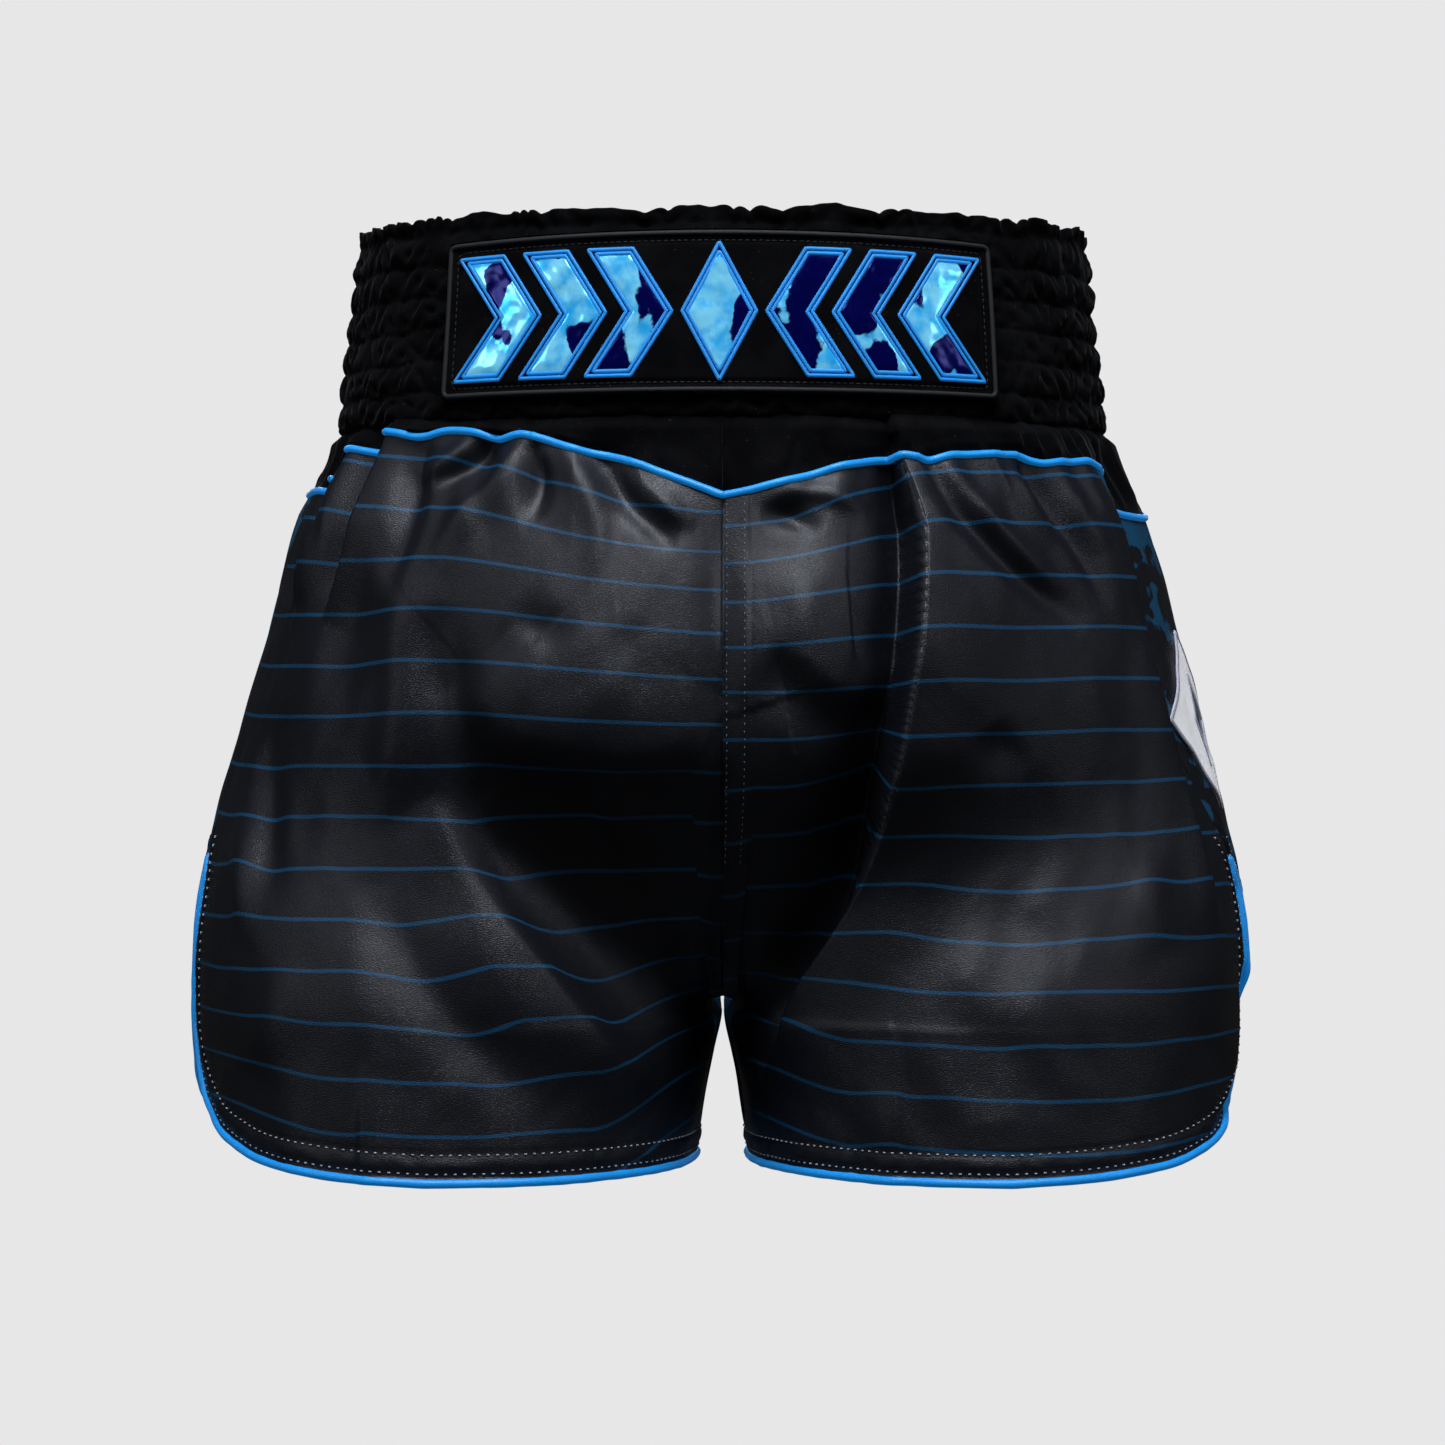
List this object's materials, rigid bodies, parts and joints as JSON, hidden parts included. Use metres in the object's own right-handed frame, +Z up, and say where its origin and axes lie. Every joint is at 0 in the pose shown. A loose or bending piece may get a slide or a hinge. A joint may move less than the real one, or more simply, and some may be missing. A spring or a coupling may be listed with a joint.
{
  "type": "boxing shorts",
  "caption": "Striped satin boxing shorts with side vents, blue piping, a velvet yoke and a gathered elastic waistband with a badge, held in the shape of a wearer.",
  "frame": {"origin": "centre of the waist opening, level with the waistband's top edge", "axes": "+Z up out of the waist opening, +X across the hips towards the wearer's right, +Y towards the wearer's front; the badge is on the back, which faces -Y"},
  "size_m": [0.43, 0.25, 0.374],
  "materials": {
    "velvet_black": "cotton-backed velvet, deep black with a soft grey bloom",
    "facing_black": "plain woven facing",
    "thread_black": "dense satin stitching",
    "thread_charcoal": "dense satin stitching over cord",
    "thread_blue": "dense satin stitching",
    "foil_blue": "crinkled metallic foil on cloth",
    "elastic_black": "woven elastic webbing",
    "satin_striped": "polyester satin, black with thin blue stripes",
    "satin_printed": "polyester satin, black with dark blue blotches",
    "piping_blue": "satin-covered piping cord",
    "applique_white": "white satin",
    "applique_edge": "dense satin stitching",
    "label_white": "woven label, blank"
  },
  "bodies": {
    "root": {"velvet_band": "velvet_black", "band_facing": "facing_black", "drawcord_buttonholes": "thread_black", "badge_base": "velvet_black", "badge_rim": "thread_charcoal", "badge_foil_shapes": "foil_blue", "badge_outline_stitching": "thread_blue", "side_applique": "applique_white", "side_applique_edge": "applique_edge", "size_label": "label_white", "care_label": "label_white", "elastic_row_1": "elastic_black", "elastic_row_2": "elastic_black", "elastic_row_3": "elastic_black", "elastic_row_4": "elastic_black", "elastic_row_5": "elastic_black", "elastic_row_6": "elastic_black", "yoke_back_left": "velvet_black", "yoke_piping_back_left": "piping_blue", "back_panel_left": "satin_striped", "hem_facing_back_left": "satin_striped", "hem_piping_back_left": "piping_blue", "yoke_back_right": "velvet_black", "yoke_piping_back_right": "piping_blue", "back_panel_right": "satin_striped", "hem_facing_back_right": "satin_striped", "hem_piping_back_right": "piping_blue", "yoke_front_left": "velvet_black", "yoke_piping_front_left": "piping_blue", "front_panel_left": "satin_printed", "hem_facing_front_left": "satin_printed", "hem_piping_front_left": "piping_blue", "yoke_front_right": "velvet_black", "yoke_piping_front_right": "piping_blue", "front_panel_right": "satin_printed", "hem_facing_front_right": "satin_printed", "hem_piping_front_right": "piping_blue"}
  },
  "joints": []
}
